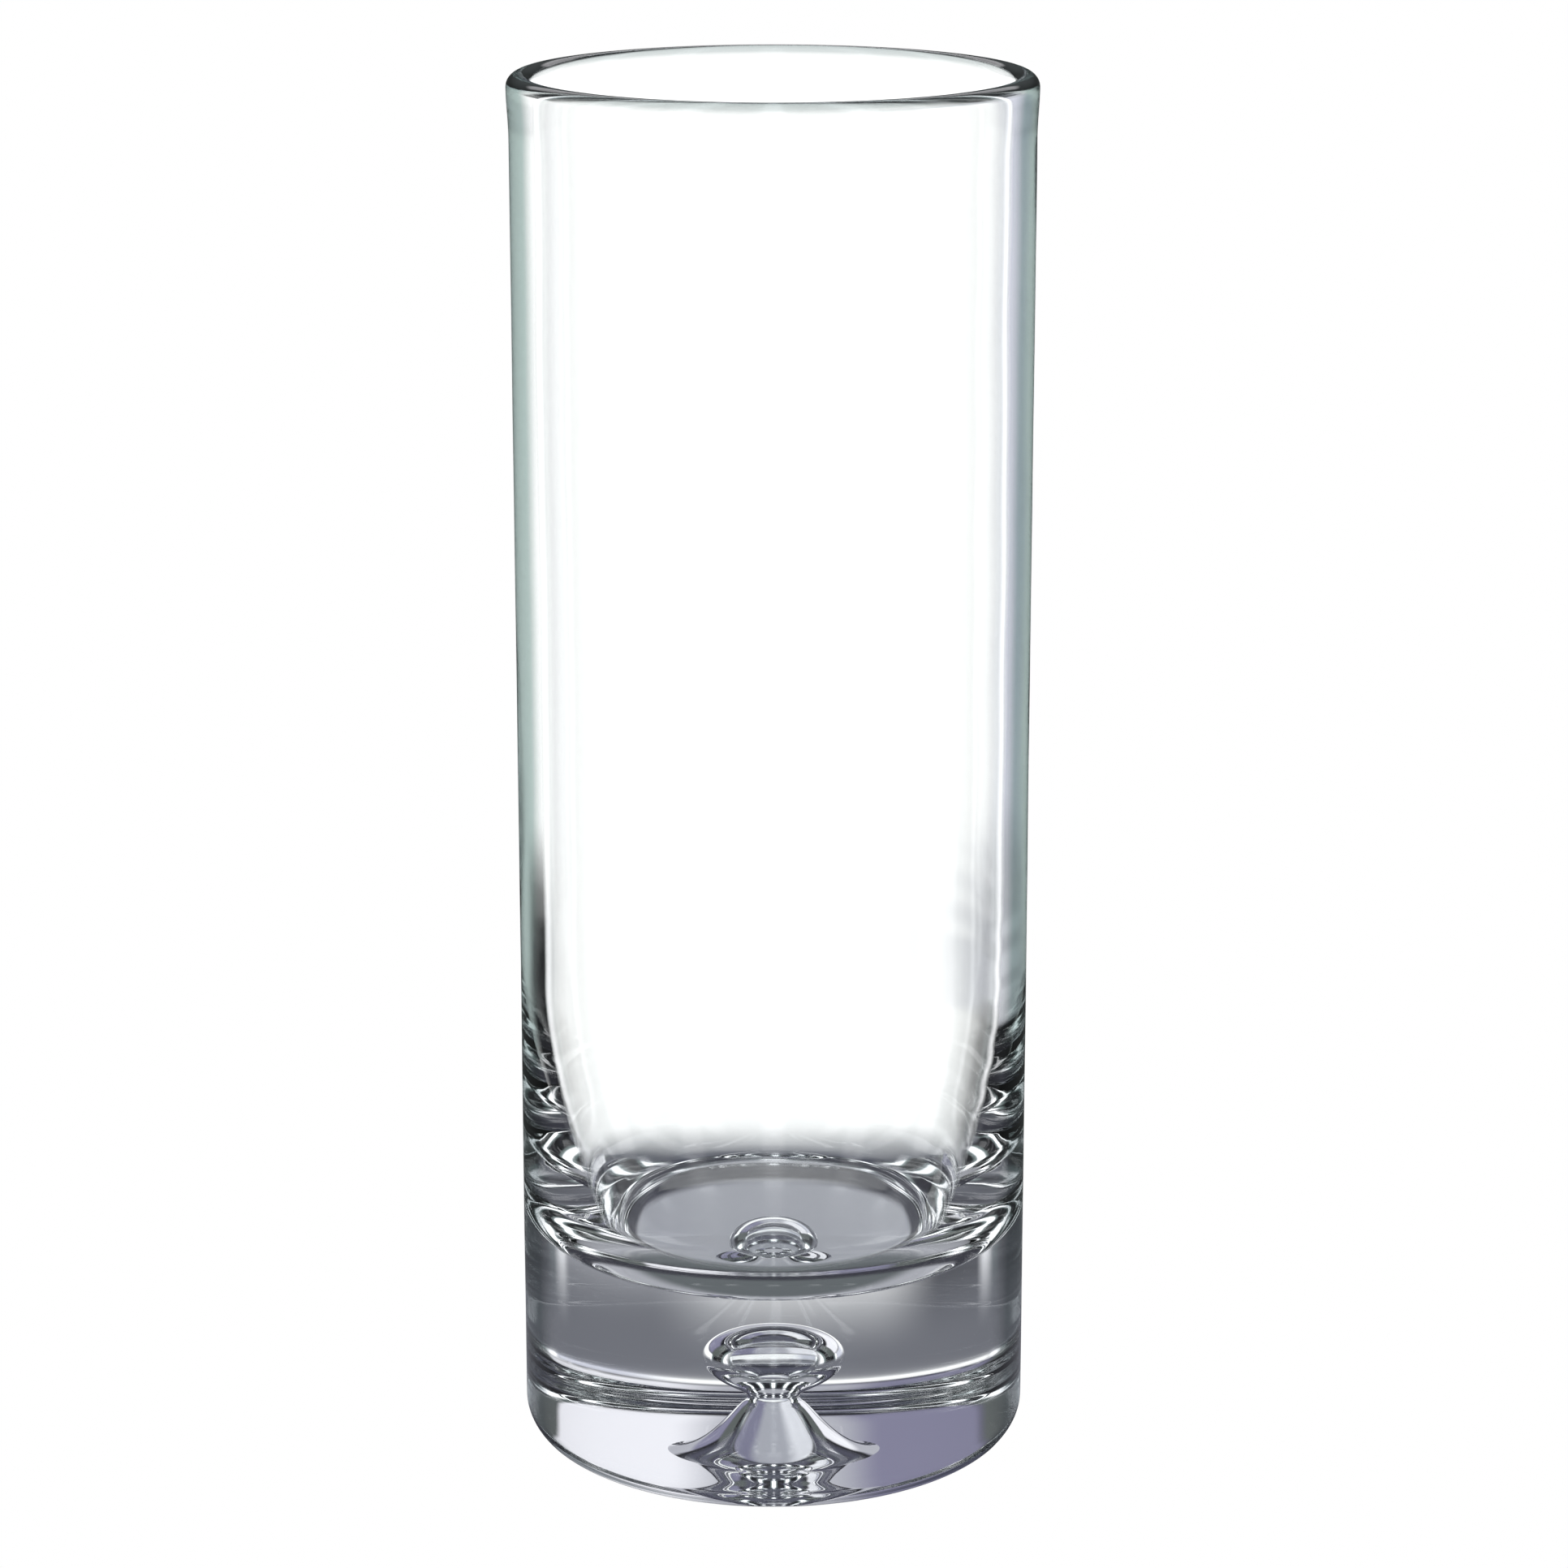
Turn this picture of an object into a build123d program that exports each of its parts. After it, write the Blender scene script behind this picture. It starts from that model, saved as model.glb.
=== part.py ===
"""Glass cylinder vase with an air bubble in its heavy base, made of two gathers of clear glass.

Millimetres, +Z up. The origin is the centre of the flat underside that the vase stands on.
Both pieces are turned shapes: each is half a section, drawn in the XZ plane and revolved, so
in every sketch the first coordinate is the radius and the second is the height.
"""

import os
from math import cos, radians, sin, sqrt

from build123d import *

# Outside
height = 300.0
body_radius = 55.0
heel_radius = 8.0  # rounding between the wall and the underside
flare = 0.45  # how far the mouth opens beyond the wall
flare_length = 14.0

# Cavity: a straight bore, three arcs that thicken the wall, and a floor that swells over the bubble
bore_radius = 50.0
shoulder_radius = 210.0
shoulder_turn = 13.0  # degrees that the section has turned where the corner takes over
corner_radius = 24.0
corner_turn = 48.0  # degrees that it has turned where the foot takes over
foot_radius = 9.5
floor_edge_height = 43.8  # the lowest ring of the cavity, where the foot lies level
floor_centre_height = 45.3
lip_radius = (body_radius + flare - bore_radius) / 2  # the lip is a half round

# Seam between the blown body and the base gather, a shallow dish
seam_centre_height = 35.5
seam_edge_height = 46.0

# Bubble in the base, open to the underside through a narrow waist and a flared mouth
bubble_radius = 10.1
bubble_widest_height = 22.6
bubble_top_height = 30.4
waist_radius = 3.75
waist_height = 13.6
waist_rounding = 1.6
waist_upper_turn = 50.0  # degrees from level up to where the bubble's wall starts
waist_lower_turn = 42.0  # degrees from level down to where the flared mouth starts
mouth_radius = 15.0
mouth_edge_slope = 14.0  # degrees from level where the flared mouth meets the underside

# Handles of the free curves: how far each end runs straight before it bends
floor_edge_handle = 5.0
floor_centre_handle = 14.0
bubble_side_handle = 4.5
bubble_neck_handle = 2.2
mouth_neck_handle = 3.0
mouth_edge_handle = 6.0
quarter_handle = 0.5523  # for a quarter ellipse, as a share of its radius

os.makedirs("parts", exist_ok=True)


def ahead(point, direction, distance):
    """The point that lies a distance from another, in a direction in degrees from outwards."""
    turn = radians(direction)
    return point[0] + distance * cos(turn), point[1] + distance * sin(turn)


def sag(radius, half_width):
    """How far an arc rises above its lowest point at a half width."""
    return radius - sqrt(radius**2 - half_width**2)


# Worked out: the bore, the shoulder, the corner and the foot are each tangent to the next
shoulder_end = radians(shoulder_turn)
corner_end = radians(corner_turn)
corner_top_radius = bore_radius - shoulder_radius * (1 - cos(shoulder_end))
corner_centre_radius = corner_top_radius - corner_radius * cos(shoulder_end)
floor_edge_radius = corner_centre_radius + (corner_radius - foot_radius) * cos(corner_end)
foot_centre_height = floor_edge_height + foot_radius
corner_centre_height = foot_centre_height + (corner_radius - foot_radius) * sin(corner_end)
bore_foot_height = corner_centre_height + (shoulder_radius - corner_radius) * sin(shoulder_end)
seam_rise = seam_edge_height - seam_centre_height
seam_radius = (body_radius**2 + seam_rise**2) / (2 * seam_rise)

# Points where one stretch of a section hands over to the next
seam_centre = (0, seam_centre_height)
seam_halfway = (body_radius / 2, seam_centre_height + sag(seam_radius, body_radius / 2))
seam_edge = (body_radius, seam_edge_height)
flare_start = (body_radius, height - flare_length)
lip_outside = (body_radius + flare, height - lip_radius)
lip_top = (bore_radius + lip_radius, height)
lip_inside = (bore_radius, height - lip_radius)
bore_foot = (bore_radius, bore_foot_height)
shoulder_centre = (bore_radius - shoulder_radius, bore_foot_height)
corner_centre = (corner_centre_radius, corner_centre_height)
foot_centre = (floor_edge_radius, foot_centre_height)
floor_edge = (floor_edge_radius, floor_edge_height)
floor_centre = (0, floor_centre_height)
bubble_top = (0, bubble_top_height)
bubble_widest = (bubble_radius, bubble_widest_height)
waist_centre = (waist_radius + waist_rounding, waist_height)
waist_upper = ahead(waist_centre, 180 - waist_upper_turn, waist_rounding)
waist_lower = ahead(waist_centre, 180 + waist_lower_turn, waist_rounding)
mouth_edge = (mouth_radius, 0)
heel_inside = (body_radius - heel_radius, 0)
heel_top = (body_radius, heel_radius)

# The blown body: the long straight wall with its fire-polished lip, closed by the cavity's floor
with BuildPart() as blown_body:
    with BuildSketch(Plane.XZ):
        with BuildLine():
            ThreePointArc(seam_centre, seam_halfway, seam_edge)
            Line(seam_edge, flare_start)
            Bezier(
                flare_start,
                ahead(flare_start, 90, flare_length / 3),
                ahead(lip_outside, -90, flare_length / 4),
                lip_outside,
            )
            ThreePointArc(lip_outside, lip_top, lip_inside)
            Line(lip_inside, bore_foot)
            CenterArc(shoulder_centre, shoulder_radius, 0, -shoulder_turn)
            CenterArc(corner_centre, corner_radius, -shoulder_turn, shoulder_turn - corner_turn)
            CenterArc(foot_centre, foot_radius, -corner_turn, corner_turn - 90)
            Bezier(
                floor_edge,
                ahead(floor_edge, 180, floor_edge_handle),
                ahead(floor_centre, 0, floor_centre_handle),
                floor_centre,
            )
            Line(floor_centre, seam_centre)
        make_face()
    revolve(axis=Axis.Z)

# The base gather: the heavy foot under the seam, with its rounded heel and the trapped bubble
with BuildPart() as base_gather:
    with BuildSketch(Plane.XZ):
        with BuildLine():
            Line(bubble_top, seam_centre)
            ThreePointArc(seam_centre, seam_halfway, seam_edge)
            Line(seam_edge, heel_top)
            CenterArc((body_radius - heel_radius, heel_radius), heel_radius, 0, -90)
            Line(heel_inside, mouth_edge)
            Bezier(
                mouth_edge,
                ahead(mouth_edge, 180 - mouth_edge_slope, mouth_edge_handle),
                ahead(waist_lower, waist_lower_turn - 90, mouth_neck_handle),
                waist_lower,
            )
            CenterArc(
                waist_centre,
                waist_rounding,
                180 + waist_lower_turn,
                -waist_lower_turn - waist_upper_turn,
            )
            Bezier(
                waist_upper,
                ahead(waist_upper, 90 - waist_upper_turn, bubble_neck_handle),
                ahead(bubble_widest, -90, bubble_side_handle),
                bubble_widest,
            )
            Bezier(
                bubble_widest,
                ahead(bubble_widest, 90, quarter_handle * (bubble_top_height - bubble_widest_height)),
                ahead(bubble_top, 0, quarter_handle * bubble_radius),
                bubble_top,
            )
        make_face()
    revolve(axis=Axis.Z)

blown_body.part.label = "blown_body"
export_step(blown_body.part, "parts/blown_body.step")
base_gather.part.label = "base_gather"
export_step(base_gather.part, "parts/base_gather.step")
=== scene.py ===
"""Looks for the glass cylinder vase: two finely turned pieces of clear glass in a white studio.

Metres, +Z up, the vase standing on z = 0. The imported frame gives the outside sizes; the shapes
inside the glass repeat the sizes that the part was designed with.
"""

from math import cos, pi, radians, sin

import bmesh
import bpy
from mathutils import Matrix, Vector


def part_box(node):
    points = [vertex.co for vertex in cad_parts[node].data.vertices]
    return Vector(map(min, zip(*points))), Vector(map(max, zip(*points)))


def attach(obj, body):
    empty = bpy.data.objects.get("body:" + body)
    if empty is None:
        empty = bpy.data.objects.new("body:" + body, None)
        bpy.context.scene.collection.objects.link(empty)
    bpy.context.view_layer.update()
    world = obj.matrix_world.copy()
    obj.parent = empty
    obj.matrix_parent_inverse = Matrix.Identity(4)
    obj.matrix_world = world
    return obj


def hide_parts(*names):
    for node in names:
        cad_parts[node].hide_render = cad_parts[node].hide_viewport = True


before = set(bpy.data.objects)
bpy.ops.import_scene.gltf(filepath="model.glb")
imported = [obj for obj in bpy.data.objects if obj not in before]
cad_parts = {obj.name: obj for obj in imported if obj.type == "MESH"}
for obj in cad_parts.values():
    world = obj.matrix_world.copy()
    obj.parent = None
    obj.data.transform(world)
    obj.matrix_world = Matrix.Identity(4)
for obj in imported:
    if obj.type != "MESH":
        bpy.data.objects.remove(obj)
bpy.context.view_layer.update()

MM = 0.001

# Outside, from the frame
body_low, body_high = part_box("blown_body")
base_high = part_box("base_gather")[1]
HEIGHT = body_high.z
BODY_RADIUS = base_high.x
LIP_OUTER_RADIUS = body_high.x
SEAM_CENTRE_HEIGHT = body_low.z
SEAM_EDGE_HEIGHT = base_high.z

# Outside, from the design
HEEL_RADIUS = 8.0 * MM
FLARE_LENGTH = 14.0 * MM

# Cavity: a bore, three arcs (shoulder, corner and foot) and a floor that swells over the bubble
BORE_RADIUS = 50.0 * MM
SHOULDER_RADIUS = 210.0 * MM
SHOULDER_TURN = radians(13.0)
CORNER_RADIUS = 24.0 * MM
CORNER_TURN = radians(48.0)
FOOT_RADIUS = 9.5 * MM
FOOT_TURN = radians(90.0)
FLOOR_EDGE_HEIGHT = 43.8 * MM
FLOOR_CENTRE_HEIGHT = 45.3 * MM
FLOOR_EDGE_HANDLE = 5.0 * MM
FLOOR_CENTRE_HANDLE = 14.0 * MM
LIP_RADIUS = (LIP_OUTER_RADIUS - BORE_RADIUS) / 2
LIP_TOP_RADIUS = BORE_RADIUS + LIP_RADIUS

# Each arc's radius, and how far the section has turned from upright at its end
CAVITY_ARCS = (
    (SHOULDER_RADIUS, SHOULDER_TURN),
    (CORNER_RADIUS, CORNER_TURN),
    (FOOT_RADIUS, FOOT_TURN),
)

# Bubble: bulb, waist and flared mouth
BUBBLE_RADIUS = 10.1 * MM
BUBBLE_WIDEST_HEIGHT = 22.6 * MM
BUBBLE_TOP_HEIGHT = 30.4 * MM
BUBBLE_SIDE_HANDLE = 4.5 * MM
BUBBLE_NECK_HANDLE = 2.2 * MM
WAIST_RADIUS = 3.75 * MM
WAIST_HEIGHT = 13.6 * MM
WAIST_ROUNDING = 1.6 * MM
WAIST_UPPER_TURN = radians(50.0)
WAIST_LOWER_TURN = radians(42.0)
MOUTH_RADIUS = 15.0 * MM
MOUTH_EDGE_SLOPE = radians(14.0)
MOUTH_NECK_HANDLE = 3.0 * MM
MOUTH_EDGE_HANDLE = 6.0 * MM
QUARTER_HANDLE = 0.5523  # for a quarter ellipse, as a share of its radius

# The two pieces are fused, so their shared face is clear, with a hair of room between the meshes
SEAM_GAP = 0.01 * MM

# Unevenness of hand-blown glass: none inside this radius, and all of it from the bore outwards
RIPPLE_START = 0.8 * BORE_RADIUS
WAVE_DEPTH = 0.06 * MM
OUTSIDE_PHASE = 0.0
INSIDE_PHASE = 1.7

# Slow swells and a few quicker ones: size, turns around, turns up the height, share of the phase
SWELLS = (
    (0.40, 2, 1.3, 1.0),
    (0.25, 3, -2.1, 2.0),
    (0.20, 5, 3.7, 3.0),
    (0.15, 9, -8.3, 4.0),
)

# Tool marks around the lower bore
RIDGE_DEPTH = 0.018 * MM
RIDGE_PITCH = 8.0 * MM
RIDGE_BOTTOM = 50.0 * MM
RIDGE_TOP = 135.0 * MM
RIDGE_SIDE = radians(10.0)  # the side where they are strongest
RIDGE_MEAN = 0.55  # their strength around the bore swings about this
RIDGE_SWING = 0.45
RIDGE_LEAN = 1.5  # how far they rise and fall around the bore, in radians of their pitch

# Mesh fineness
SECTORS = 240
CURVE_STEPS = 24
WALL_STEPS = 110
SHARP_ANGLE = radians(12.0)
NEAR_AXIS = 1e-9

# Material slots of both pieces
GLASS = 0
SEAM = 1


# --- Sections: points are (radius, height) ---


def ahead(point, direction, distance):
    """The point that lies a distance from another, in a direction in radians from outwards."""
    return point[0] + distance * cos(direction), point[1] + distance * sin(direction)


def straight(start, end, steps):
    return [
        (start[0] + (end[0] - start[0]) * i / steps, start[1] + (end[1] - start[1]) * i / steps)
        for i in range(steps + 1)
    ]


def arc(centre, radius, start, turn):
    return [ahead(centre, start + turn * i / CURVE_STEPS, radius) for i in range(CURVE_STEPS + 1)]


def bezier(start, handle, other_handle, end):
    corners = (start, handle, other_handle, end)
    points = []
    for i in range(CURVE_STEPS + 1):
        t = i / CURVE_STEPS
        shares = ((1 - t) ** 3, 3 * t * (1 - t) ** 2, 3 * t**2 * (1 - t), t**3)
        points.append(tuple(sum(s * p[k] for s, p in zip(shares, corners)) for k in (0, 1)))
    return points


def seam_curve(drop=0.0):
    """The shallow dish where the two gathers meet, from the axis out to the wall."""
    rise = SEAM_EDGE_HEIGHT - SEAM_CENTRE_HEIGHT
    radius = (BODY_RADIUS**2 + rise**2) / (2 * rise)
    points = []
    for i in range(CURVE_STEPS + 1):
        across = BODY_RADIUS * i / CURVE_STEPS
        sag = radius - (radius**2 - across**2) ** 0.5
        points.append((across, SEAM_CENTRE_HEIGHT + sag - drop))
    return points


def cavity_corner():
    """Arcs of falling radius, each tangent to the one before, from the bore to the floor's edge."""
    points = [(BORE_RADIUS, 0.0)]
    turned = 0.0
    for radius, turn in CAVITY_ARCS:
        centre = ahead(points[-1], pi - turned, radius)
        points += arc(centre, radius, -turned, turned - turn)[1:]
        turned = turn
    lift = FLOOR_EDGE_HEIGHT - points[-1][1]
    return [(across, up + lift) for across, up in points]


def body_sections():
    """Stretches of the blown body's section, each with the slot that its faces take."""
    corner = cavity_corner()
    bore_foot = corner[0]
    floor_edge = corner[-1]
    floor_centre = (0.0, FLOOR_CENTRE_HEIGHT)
    seam_edge = (BODY_RADIUS, SEAM_EDGE_HEIGHT)
    flare_start = (BODY_RADIUS, HEIGHT - FLARE_LENGTH)
    lip_height = HEIGHT - LIP_RADIUS
    lip_outside = (LIP_OUTER_RADIUS, lip_height)
    flare = bezier(
        flare_start,
        ahead(flare_start, pi / 2, FLARE_LENGTH / 3),
        ahead(lip_outside, -pi / 2, FLARE_LENGTH / 4),
        lip_outside,
    )
    floor = bezier(
        floor_edge,
        ahead(floor_edge, pi, FLOOR_EDGE_HANDLE),
        ahead(floor_centre, 0.0, FLOOR_CENTRE_HANDLE),
        floor_centre,
    )
    return [
        (SEAM, seam_curve()),
        (GLASS, straight(seam_edge, flare_start, WALL_STEPS)),
        (GLASS, flare),
        (GLASS, arc((LIP_TOP_RADIUS, lip_height), LIP_RADIUS, 0.0, pi)),
        (GLASS, straight((BORE_RADIUS, lip_height), bore_foot, WALL_STEPS)),
        (GLASS, corner),
        (GLASS, floor),
    ]


def base_sections():
    """Stretches of the base gather's section, each with the slot that its faces take."""
    seam_edge = (BODY_RADIUS, SEAM_EDGE_HEIGHT - SEAM_GAP)
    heel_top = (BODY_RADIUS, HEEL_RADIUS)
    heel_centre = (BODY_RADIUS - HEEL_RADIUS, HEEL_RADIUS)
    heel_inside = (BODY_RADIUS - HEEL_RADIUS, 0.0)
    mouth_edge = (MOUTH_RADIUS, 0.0)
    waist_centre = (WAIST_RADIUS + WAIST_ROUNDING, WAIST_HEIGHT)
    waist_lower = ahead(waist_centre, pi + WAIST_LOWER_TURN, WAIST_ROUNDING)
    waist_upper = ahead(waist_centre, pi - WAIST_UPPER_TURN, WAIST_ROUNDING)
    waist_turn = -WAIST_LOWER_TURN - WAIST_UPPER_TURN
    widest = (BUBBLE_RADIUS, BUBBLE_WIDEST_HEIGHT)
    top = (0.0, BUBBLE_TOP_HEIGHT)
    mouth = bezier(
        mouth_edge,
        ahead(mouth_edge, pi - MOUTH_EDGE_SLOPE, MOUTH_EDGE_HANDLE),
        ahead(waist_lower, WAIST_LOWER_TURN - pi / 2, MOUTH_NECK_HANDLE),
        waist_lower,
    )
    lower_bulb = bezier(
        waist_upper,
        ahead(waist_upper, pi / 2 - WAIST_UPPER_TURN, BUBBLE_NECK_HANDLE),
        ahead(widest, -pi / 2, BUBBLE_SIDE_HANDLE),
        widest,
    )
    upper_bulb = bezier(
        widest,
        ahead(widest, pi / 2, QUARTER_HANDLE * (BUBBLE_TOP_HEIGHT - BUBBLE_WIDEST_HEIGHT)),
        ahead(top, 0.0, QUARTER_HANDLE * BUBBLE_RADIUS),
        top,
    )
    return [
        (SEAM, seam_curve(SEAM_GAP)),
        (GLASS, straight(seam_edge, heel_top, CURVE_STEPS)),
        (GLASS, arc(heel_centre, HEEL_RADIUS, 0.0, -pi / 2)),
        (GLASS, straight(heel_inside, mouth_edge, CURVE_STEPS)),
        (GLASS, mouth),
        (GLASS, arc(waist_centre, WAIST_ROUNDING, pi + WAIST_LOWER_TURN, waist_turn)),
        (GLASS, lower_bulb),
        (GLASS, upper_bulb),
    ]


# --- Turned meshes ---


def made_object(mesh, name):
    """A scene object from a bmesh, which is used up."""
    data = bpy.data.meshes.new(name)
    mesh.to_mesh(data)
    mesh.free()
    made = bpy.data.objects.new(name, data)
    bpy.context.scene.collection.objects.link(made)
    return made


def share_between(value, start, end):
    """How far a value has gone from start to end, from 0 to 1."""
    return min(1.0, max(0.0, (value - start) / (end - start)))


def wave(angle, height, phase):
    """How far hand-blown glass stands out here, from -1 to 1."""
    along = height / HEIGHT * 2 * pi
    return sum(
        size * sin(around * angle + up * along + share * phase)
        for size, around, up, share in SWELLS
    )


def ridge(angle, height):
    """How far the tool marks stand out here, from -1 to 1."""
    up = sin(pi * share_between(height, RIDGE_BOTTOM, RIDGE_TOP))
    side = RIDGE_MEAN + RIDGE_SWING * cos(angle - RIDGE_SIDE)
    return up * side * sin(2 * pi * height / RIDGE_PITCH + RIDGE_LEAN * sin(angle))


def rippled(radius, height, angle):
    """The radius with the unevenness of hand-blown glass."""
    share = share_between(radius, RIPPLE_START, BORE_RADIUS)
    if radius > LIP_TOP_RADIUS:
        return radius + share * WAVE_DEPTH * wave(angle, height, OUTSIDE_PHASE)
    swell = WAVE_DEPTH * wave(angle, height, INSIDE_PHASE)
    return radius + share * (swell + RIDGE_DEPTH * ridge(angle, height))


def add_ring(mesh, radius, height):
    """A ring of vertices, or the single vertex where the section meets the axis."""
    if radius < NEAR_AXIS:
        return [mesh.verts.new((0.0, 0.0, height))]
    ring = []
    for k in range(SECTORS):
        angle = 2 * pi * k / SECTORS
        out = rippled(radius, height, angle)
        ring.append(mesh.verts.new((out * cos(angle), out * sin(angle), height)))
    return ring


def add_band(mesh, ring, following, slot):
    """The faces between a ring and the one that follows it in the section."""
    for k in range(SECTORS):
        after = (k + 1) % SECTORS
        if len(ring) == 1:
            corners = (ring[0], following[after], following[k])
        elif len(following) == 1:
            corners = (ring[k], ring[after], following[0])
        else:
            corners = (ring[k], ring[after], following[after], following[k])
        face = mesh.faces.new(corners)
        face.smooth = True
        face.material_index = slot


def lathe(name, sections):
    """A closed turned mesh, smooth along each stretch, with a sharp ring where the slot changes."""
    mesh = bmesh.new()
    rings = []
    slots = []
    for slot, points in sections:
        start = 1 if rings else 0
        for radius, height in points[start:]:
            rings.append(add_ring(mesh, radius, height))
        slots.extend([slot] * (len(points) - 1))
    for ring, following, slot in zip(rings, rings[1:], slots):
        add_band(mesh, ring, following, slot)
    bmesh.ops.recalc_face_normals(mesh, faces=mesh.faces)
    for edge in mesh.edges:
        if len({face.material_index for face in edge.link_faces}) > 1:
            edge.smooth = False
        elif edge.calc_face_angle(0.0) > SHARP_ANGLE:
            edge.smooth = False
    return made_object(mesh, name)


# --- Node trees ---

# The colour sockets of a Mix node, by number, as its other sockets have the same names
MIX_FIRST = 6
MIX_SECOND = 7
MIX_RESULT = 2


class Nodes:
    """Short calls for building a node tree."""

    def __init__(self, tree):
        tree.nodes.clear()
        self.tree = tree

    def new(self, kind):
        return self.tree.nodes.new(kind)

    def link(self, source, target):
        self.tree.links.new(source, target)

    def put(self, value, target):
        """Link a socket, or set a number or a colour."""
        if isinstance(value, bpy.types.NodeSocket):
            self.link(value, target)
        else:
            target.default_value = value

    def point(self, kind):
        return self.new("ShaderNodeTexCoord").outputs[kind]

    def split(self, point):
        """The x, y and z of a point."""
        node = self.new("ShaderNodeSeparateXYZ")
        self.link(point, node.inputs[0])
        return node.outputs

    def length(self, point):
        node = self.new("ShaderNodeVectorMath")
        node.operation = "LENGTH"
        self.link(point, node.inputs[0])
        return node.outputs["Value"]

    def math(self, operation, *values):
        node = self.new("ShaderNodeMath")
        node.operation = operation
        for value, target in zip(values, node.inputs):
            self.put(value, target)
        return node.outputs[0]

    def rise(self, value, start, end):
        """0 up to start, 1 from end, and smooth between."""
        node = self.new("ShaderNodeMapRange")
        node.interpolation_type = "SMOOTHSTEP"
        self.put(value, node.inputs["Value"])
        self.put(start, node.inputs["From Min"])
        self.put(end, node.inputs["From Max"])
        return node.outputs[0]

    def band(self, value, low, high, soft, high_soft=None):
        """1 between low and high, falling to 0 over a width of twice soft about each end."""
        high_soft = high_soft or soft
        up = self.rise(value, low - soft, low + soft)
        down = self.rise(value, high - high_soft, high + high_soft)
        return self.math("MULTIPLY", up, self.math("SUBTRACT", 1.0, down))

    def mix(self, blend, amount, first, second):
        node = self.new("ShaderNodeMix")
        node.data_type = "RGBA"
        node.blend_type = blend
        self.put(amount, node.inputs["Factor"])
        self.put(first, node.inputs[MIX_FIRST])
        self.put(second, node.inputs[MIX_SECOND])
        return node.outputs[MIX_RESULT]

    def paint(self, under, over, amount):
        return self.mix("MIX", amount, under, over)

    def emission(self, colour):
        node = self.new("ShaderNodeEmission")
        self.put(colour, node.inputs["Color"])
        return node.outputs[0]

    def transparent(self):
        return self.new("ShaderNodeBsdfTransparent").outputs[0]

    def mix_shaders(self, amount, first, second):
        node = self.new("ShaderNodeMixShader")
        for value, target in zip((amount, first, second), node.inputs):
            self.link(value, target)
        return node.outputs[0]

    def surface(self, shader, kind="ShaderNodeOutputMaterial"):
        """Make a shader the tree's result."""
        self.link(shader, self.new(kind).inputs["Surface"])


def new_material(name):
    """A material and its empty node tree."""
    material = bpy.data.materials.new(name)
    material.use_nodes = True
    return material, Nodes(material.node_tree)


# --- Materials ---

GLASS_IOR = 1.51

# Share of the height, and the glass's tint there
GLASS_TINTS_AND_LIP_SHADE = (
    (0.0, (0.84, 0.86, 0.87, 1.0)),
    (0.15, (0.90, 0.92, 0.925, 1.0)),
    (0.28, (0.98, 0.99, 0.985, 1.0)),
    (0.9940, (0.975, 0.985, 0.98, 1.0)),
    # Painted shade: the lip's dark band stands for the dark room the rim sees, over thick glass's
    # green-grey
    (0.9965, (0.24, 0.29, 0.29, 1.0)),
)

# The outer wall seen edge on, where light has gone a long way through the glass
EDGE_TINT = (0.17, 0.26, 0.24, 1.0)
EDGE_TINT_LOW = (0.14, 0.165, 0.17, 1.0)
EDGE_TURN = (0.20, 0.42)  # shares of the height between which the low tint gives way
EDGE_ON = (0.54, 0.70)  # values of Facing between which the tint comes in
FACING_BLEND = 0.5  # the plain angle, with no bend towards either end
NO_TINT = (1.0, 1.0, 1.0, 1.0)


def clear_glass():
    """Clear glass, a little darker in the heavy base and where the wall is edge on, with painted
    shade at the lip.
    """
    material, nodes = new_material("clear_glass")
    shader = nodes.new("ShaderNodeBsdfPrincipled")
    shader.inputs["Roughness"].default_value = 0.0
    shader.inputs["IOR"].default_value = GLASS_IOR
    shader.inputs["Transmission Weight"].default_value = 1.0
    x, y, z = nodes.split(nodes.point("Object"))
    share = nodes.math("DIVIDE", z, HEIGHT)
    # The ramp carries the glass's tint by height and the painted shade of the lip's dark band
    tints_and_lip_shade = nodes.new("ShaderNodeValToRGB")
    ramp = tints_and_lip_shade.color_ramp
    ramp.elements.remove(ramp.elements[1])
    for index, (place, tint) in enumerate(GLASS_TINTS_AND_LIP_SHADE):
        element = ramp.elements[0] if index == 0 else ramp.elements.new(place)
        element.position = place
        element.color = tint
    nodes.put(share, tints_and_lip_shade.inputs[0])
    squares = [nodes.math("MULTIPLY", side, side) for side in (x, y)]
    outside = nodes.math("GREATER_THAN", nodes.math("ADD", *squares), LIP_TOP_RADIUS**2)
    weight = nodes.new("ShaderNodeLayerWeight")
    weight.inputs["Blend"].default_value = FACING_BLEND
    edge_on = nodes.rise(weight.outputs["Facing"], *EDGE_ON)
    edge = nodes.paint(EDGE_TINT_LOW, EDGE_TINT, nodes.rise(share, *EDGE_TURN))
    edge = nodes.paint(NO_TINT, edge, nodes.math("MULTIPLY", outside, edge_on))
    nodes.put(nodes.mix("MULTIPLY", 1.0, tints_and_lip_shade.outputs[0], edge), shader.inputs["Base Color"])
    nodes.surface(shader.outputs[0])
    return material


def fused_seam():
    """Fused glass: light goes straight through the face that the two pieces share."""
    material, nodes = new_material("fused_seam")
    nodes.surface(nodes.transparent())
    return material


# --- Pieces ---

glass = clear_glass()
seam = fused_seam()
for name, sections, node in (
    ("blown_body_glass", body_sections(), "blown_body"),
    ("base_gather_glass", base_sections(), "base_gather"),
):
    piece = lathe(name, sections)
    piece.data.materials.append(glass)
    piece.data.materials.append(seam)
    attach(piece, "root")
    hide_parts(node)


# --- Surroundings: angles in degrees, azimuth 0 behind the vase and growing to the right ---

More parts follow.
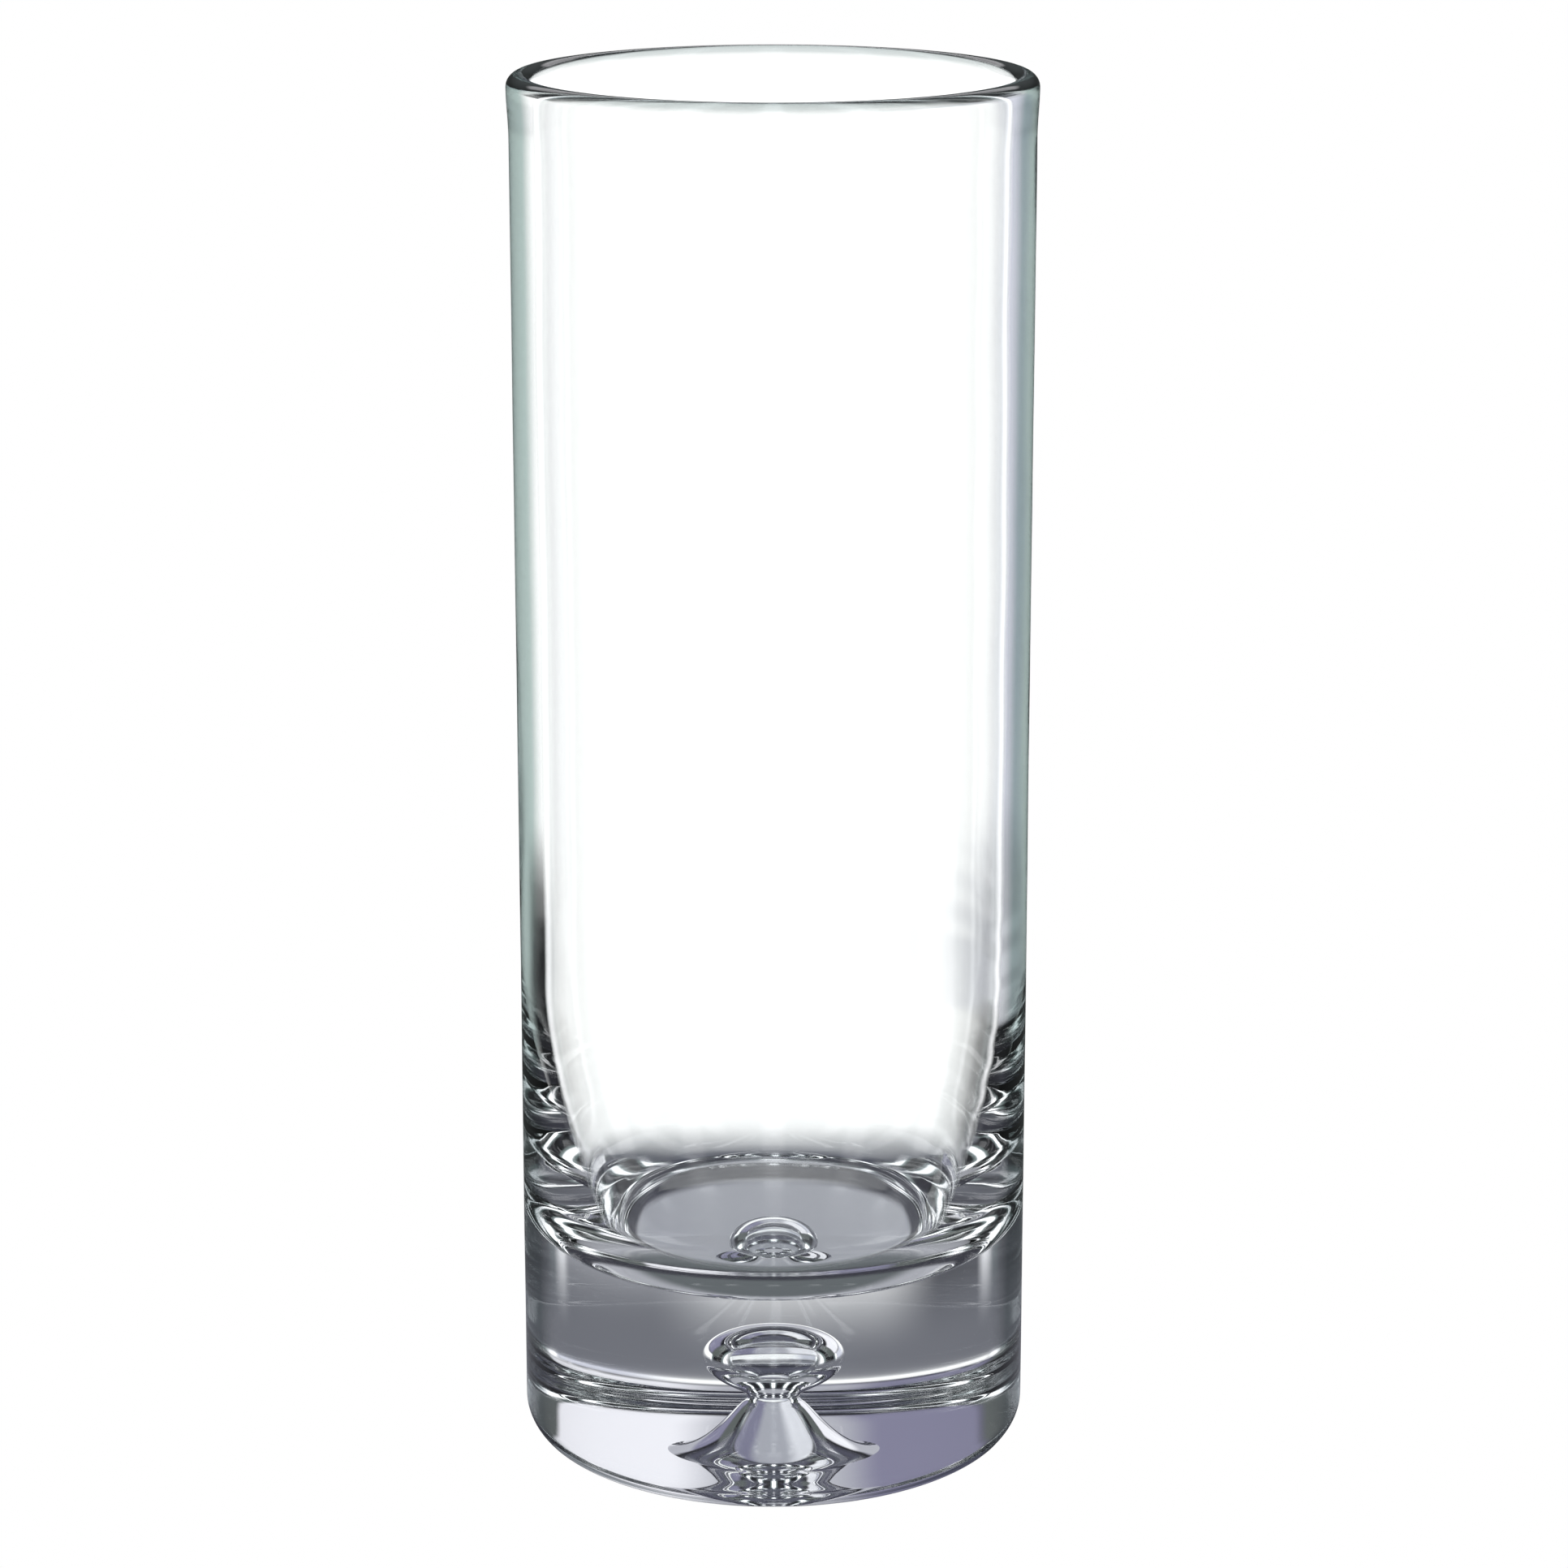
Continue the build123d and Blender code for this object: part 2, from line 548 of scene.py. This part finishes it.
WHITE = (1.0, 1.0, 1.0, 1.0)
BRIGHT = (1.32, 1.32, 1.32, 1.0)
RING_BRIGHT = (1.9, 1.9, 1.95, 1.0)
DARK = (0.012, 0.012, 0.014, 1.0)
DIM = (0.13, 0.145, 0.14, 1.0)
OVERHEAD = (0.10, 0.10, 0.14, 1.0)
MIRRORED = (0.05, 0.055, 0.055, 1.0)
MIRRORED_HIGH = (0.17, 0.19, 0.195, 1.0)
SOFT_BOX = (1.5, 1.5, 1.55, 1.0)
GREY_GREEN = (0.22, 0.27, 0.27, 1.0)
LAVENDER = (0.28, 0.27, 0.39, 1.0)
HAZE = (0.56, 0.56, 0.62, 1.0)
LOW_WHITE = (1.1, 1.09, 1.15, 1.0)
PALE = (0.80, 0.81, 0.92, 1.0)
SHADED = (0.78, 0.79, 0.85, 1.0)

# Painted in this order, each over the ones before it. A ring panel goes all the way round.
# Colour, kind, left side, its softness, right side, its softness, bottom, top, their softness
PANELS = (
    (RING_BRIGHT, "ring", -1.0, 1.0, 6.0, 2.5, -91.0, 91.0, 1.0),
    (DARK, "ring", 11.0, 2.5, 24.0, 1.0, -91.0, 91.0, 1.0),
    (DARK, "plain", -46.0, 2.0, 46.0, 2.0, -91.0, 3.0, 1.5),
    (PALE, "plain", 4.0, 6.0, 46.0, 2.0, -16.2, 3.0, 1.0),
    (BRIGHT, "plain", -46.0, 2.0, 18.0, 10.0, -16.2, 3.0, 1.0),
    (BRIGHT, "plain", -24.0, 8.0, 14.0, 8.0, -91.0, 3.0, 3.0),
    (SHADED, "plain", 9.0, 8.0, 46.0, 2.0, -21.0, -16.2, 1.5),
    (DARK, "plain", -70.0, 2.0, 70.0, 2.0, 3.0, 60.0, 3.0),
    (DIM, "plain", -70.0, 2.0, -48.0, 3.0, 3.0, 60.0, 3.0),
    (DIM, "plain", 52.0, 3.0, 70.0, 2.0, 3.0, 60.0, 3.0),
    (LAVENDER, "plain", -48.0, 4.0, 0.0, 4.0, 5.0, 38.0, 4.0),
    (HAZE, "plain", -14.0, 5.0, 22.0, 6.0, 5.0, 38.0, 4.0),
    (LOW_WHITE, "plain", 12.0, 6.0, 52.0, 2.0, 5.0, 38.0, 4.0),
)
RING_HALF_PITCH = 22.5  # a ring panel is mirrored at each multiple of this azimuth
OVERHEAD_RISE = (40.0, 60.0)  # elevations between which the ceiling takes over
MIRRORED_RISE = (2.0, 20.0)  # elevations between which the mirrored room lightens
SOFT_BOX_ACROSS = (-32.0, 32.0, 4.0)  # its left side, its right side and their softness
SOFT_BOX_UP = (22.0, 36.0, 2.0)  # its bottom, its top and their softness
RADIAN = 180 / pi  # in degrees


def surroundings():
    """White to the camera. The glass shows painted panels, and mirrors a soft box in a dark room."""
    world = bpy.data.worlds.new("studio")
    bpy.context.scene.world = world
    world.use_nodes = True
    nodes = Nodes(world.node_tree)
    x, y, z = nodes.split(nodes.point("Generated"))
    azimuth = nodes.math("MULTIPLY", nodes.math("ARCTAN2", x, y), RADIAN)
    elevation = nodes.math("MULTIPLY", nodes.math("ARCSINE", z), RADIAN)
    across = {"ring": nodes.math("PINGPONG", azimuth, RING_HALF_PITCH), "plain": azimuth}
    light = GREY_GREEN
    for colour, kind, left, left_soft, right, right_soft, bottom, top, soft in PANELS:
        side = nodes.band(across[kind], left, right, left_soft, right_soft)
        amount = nodes.math("MULTIPLY", side, nodes.band(elevation, bottom, top, soft))
        light = nodes.paint(light, colour, amount)
    light = nodes.paint(light, OVERHEAD, nodes.rise(elevation, *OVERHEAD_RISE))
    mirrored = nodes.paint(MIRRORED, MIRRORED_HIGH, nodes.rise(elevation, *MIRRORED_RISE))
    box_across = nodes.band(azimuth, *SOFT_BOX_ACROSS)
    box_up = nodes.band(elevation, *SOFT_BOX_UP)
    mirrored = nodes.paint(mirrored, SOFT_BOX, nodes.math("MULTIPLY", box_across, box_up))
    path = nodes.new("ShaderNodeLightPath")
    light = nodes.paint(light, mirrored, path.outputs["Is Reflection Ray"])
    light = nodes.paint(light, WHITE, path.outputs["Is Camera Ray"])
    background = nodes.new("ShaderNodeBackground")
    nodes.put(light, background.inputs["Color"])
    nodes.surface(background.outputs[0], "ShaderNodeOutputWorld")


# --- Floor ---

FLOOR_RADIUS = 0.2
FLOOR_SEGMENTS = 96
FLOOR_DROP = -0.2 * MM

# Painted shade on the floor that the glass shows, from the middle out
FLOOR_SHADE_UNDER = (0.49, 0.495, 0.54, 1.0)
FLOOR_SHADE_FRONT = (0.15, 0.165, 0.175, 1.0)
FLOOR_CONTACT_SHADOW = (0.05, 0.05, 0.065, 1.0)
FLOOR_SHADE_AROUND = (0.20, 0.205, 0.235, 1.0)
FRONT_SHADE_TURN = (-22.0 * MM, -4.0 * MM)  # from front to back, where the front grey gives way
CONTACT_SHADOW_START = (0.82 * BODY_RADIUS, 0.92 * BODY_RADIUS)
CONTACT_SHADOW_END = (0.98 * BODY_RADIUS, 1.12 * BODY_RADIUS)

# Distances from the axis between which the painted shade fades out
BASE_SHADE_FADE = (72.0 * MM, 170.0 * MM)  # seen through the base
BODY_SHADE_FADE = (57.0 * MM, 115.0 * MM)  # seen through the cavity
BASE_CROSSINGS = 2.5  # a view that crosses more surfaces than this is through the cavity


def floor_shade_material():
    """White to the camera. Through the glass it shows painted shade, greys that fade out with
    distance.
    """
    material, nodes = new_material("floor_with_painted_shade")
    point = nodes.point("Object")
    distance = nodes.length(point)
    # Painted shade: a dark painted shadow in front of the vase, a lighter grey under and behind it
    painted_floor_shade = nodes.paint(FLOOR_SHADE_FRONT, FLOOR_SHADE_UNDER, nodes.rise(nodes.split(point)[1], *FRONT_SHADE_TURN))
    # Painted contact shadow: a dark ring on the floor round the heel
    painted_floor_shade = nodes.paint(painted_floor_shade, FLOOR_CONTACT_SHADOW, nodes.rise(distance, *CONTACT_SHADOW_START))
    # Painted shade: a grey around the vase, beyond the contact shadow
    painted_floor_shade = nodes.paint(painted_floor_shade, FLOOR_SHADE_AROUND, nodes.rise(distance, *CONTACT_SHADOW_END))
    path = nodes.new("ShaderNodeLightPath")
    in_body = nodes.math("GREATER_THAN", path.outputs["Transmission Depth"], BASE_CROSSINGS)
    body_shade_fade = nodes.math("MULTIPLY", in_body, nodes.rise(distance, *BODY_SHADE_FADE))
    shade_fade = nodes.math("MAXIMUM", body_shade_fade, nodes.rise(distance, *BASE_SHADE_FADE))
    shade_in_glass = nodes.mix_shaders(shade_fade, nodes.emission(painted_floor_shade), nodes.transparent())
    white = nodes.emission(WHITE)
    nodes.surface(nodes.mix_shaders(path.outputs["Is Camera Ray"], shade_in_glass, white))
    return material


def floor_with_painted_shade():
    """A disc to stand on, a hair below the vase."""
    mesh = bmesh.new()
    bmesh.ops.create_circle(mesh, cap_ends=True, radius=FLOOR_RADIUS, segments=FLOOR_SEGMENTS)
    for vertex in mesh.verts:
        vertex.co.z = FLOOR_DROP
    floor = made_object(mesh, "floor_with_painted_shade")
    floor.data.materials.append(floor_shade_material())


surroundings()
floor_with_painted_shade()

# --- Camera ---

SENSOR_WIDTH = 36.0  # millimetres, as the lens
LENS = 109.72
CAMERA_PLACE = (0.0023, -0.9964, 0.4131)
CAMERA_DOWN = 14.95  # degrees below level
CLIP_START = 0.01
CLIP_END = 100.0
BOUNCES = 24  # light crosses many faces inside thick glass

lens_data = bpy.data.cameras.new("camera")
camera = bpy.data.objects.new("camera", lens_data)
bpy.context.scene.collection.objects.link(camera)
lens_data.sensor_width = SENSOR_WIDTH
lens_data.lens = LENS
lens_data.clip_start = CLIP_START
lens_data.clip_end = CLIP_END
camera.location = CAMERA_PLACE
camera.rotation_euler = (radians(90.0 - CAMERA_DOWN), 0.0, 0.0)
bpy.context.scene.camera = camera
bpy.context.scene.view_settings.view_transform = "Standard"

cycles = bpy.context.scene.cycles
cycles.max_bounces = BOUNCES
cycles.transmission_bounces = BOUNCES
cycles.glossy_bounces = BOUNCES
cycles.transparent_max_bounces = BOUNCES
